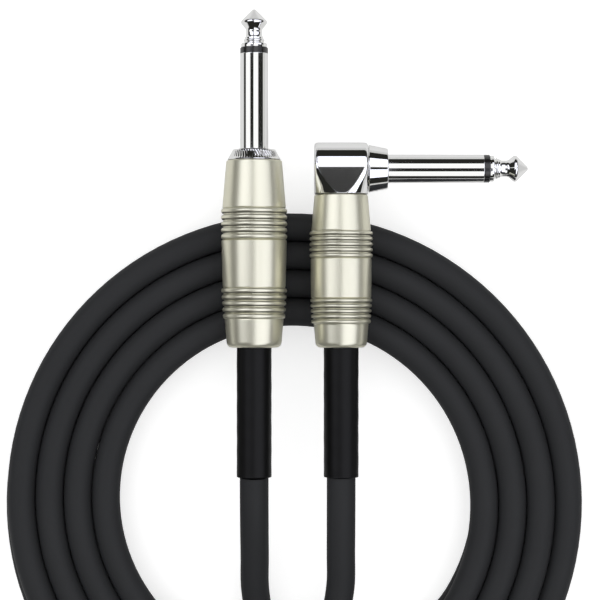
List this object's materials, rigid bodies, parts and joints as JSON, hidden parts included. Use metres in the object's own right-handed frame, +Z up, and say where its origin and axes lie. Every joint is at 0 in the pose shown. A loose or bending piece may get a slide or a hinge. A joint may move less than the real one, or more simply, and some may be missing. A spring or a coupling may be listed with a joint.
{
  "type": "instrument cable",
  "caption": "Coiled audio cable with a straight and a right-angle jack plug, ribbed barrels that unscrew, insulated tips, solder lugs and heat-shrink sleeves.",
  "frame": {"origin": "on the table, on the underside of the coil's second lower turn, midway between the two plugs", "axes": "+Z up from the table; +Y along the straight plug towards its tip; +X along the right-angle plug's jack towards its tip"},
  "size_m": [0.133, 0.1789, 0.028],
  "materials": {
    "jack_chrome": "polished",
    "satin_nickel": "satin",
    "black_plastic": "gloss",
    "lug_metal": "tinned brass",
    "washer_fibre": "matte",
    "liner_plastic": "matte",
    "heat_shrink": "gloss",
    "cable_jacket": "matte",
    "core_plastic": "matte",
    "copper": "bare copper with solder"
  },
  "bodies": {
    "cable": {"straight_tip": "jack_chrome", "straight_tip_insulator": "black_plastic", "straight_shaft": "jack_chrome", "straight_ground_lug": "lug_metal", "straight_rear_washer": "washer_fibre", "straight_tip_lug": "lug_metal", "straight_sleeve": "heat_shrink", "straight_cable_end": "cable_jacket", "straight_core": "core_plastic", "straight_tip_wire": "copper", "straight_shield": "copper", "angle_tip": "jack_chrome", "angle_tip_insulator": "black_plastic", "angle_shaft": "jack_chrome", "angle_head": "jack_chrome", "angle_ground_lug": "lug_metal", "angle_rear_washer": "washer_fibre", "angle_tip_lug": "lug_metal", "angle_sleeve": "heat_shrink", "angle_cable_end": "cable_jacket", "angle_core": "core_plastic", "angle_tip_wire": "copper", "angle_shield": "copper", "straight_lead": "cable_jacket", "coil": "cable_jacket", "angle_lead": "cable_jacket"},
    "straight_liner": {"straight_liner": "liner_plastic"},
    "straight_barrel": {"straight_barrel": "satin_nickel"},
    "angle_liner": {"angle_liner": "liner_plastic"},
    "angle_barrel": {"angle_barrel": "satin_nickel"}
  },
  "joints": [
    {"name": "straight_barrel_slide", "type": "slide", "parent": "cable", "child": "straight_liner", "axis": [0, -1, 0], "range_m": [0, 0.00375]},
    {"name": "straight_barrel_turn", "type": "hinge", "parent": "straight_liner", "child": "straight_barrel", "pos_m": [-0.0092, 0, 0.0206], "axis": [0, -1, 0], "range_deg": [0, 1800]},
    {"name": "angle_barrel_slide", "type": "slide", "parent": "cable", "child": "angle_liner", "axis": [0, -1, 0], "range_m": [0, 0.00375]},
    {"name": "angle_barrel_turn", "type": "hinge", "parent": "angle_liner", "child": "angle_barrel", "pos_m": [0.0104, 0, 0.0203], "axis": [0, -1, 0], "range_deg": [0, 1800]}
  ],
  "couplings": [
    {"joint": "straight_barrel_turn", "follows": "straight_barrel_slide", "rad_per_m": 8377.6},
    {"joint": "angle_barrel_turn", "follows": "angle_barrel_slide", "rad_per_m": 8377.6}
  ]
}
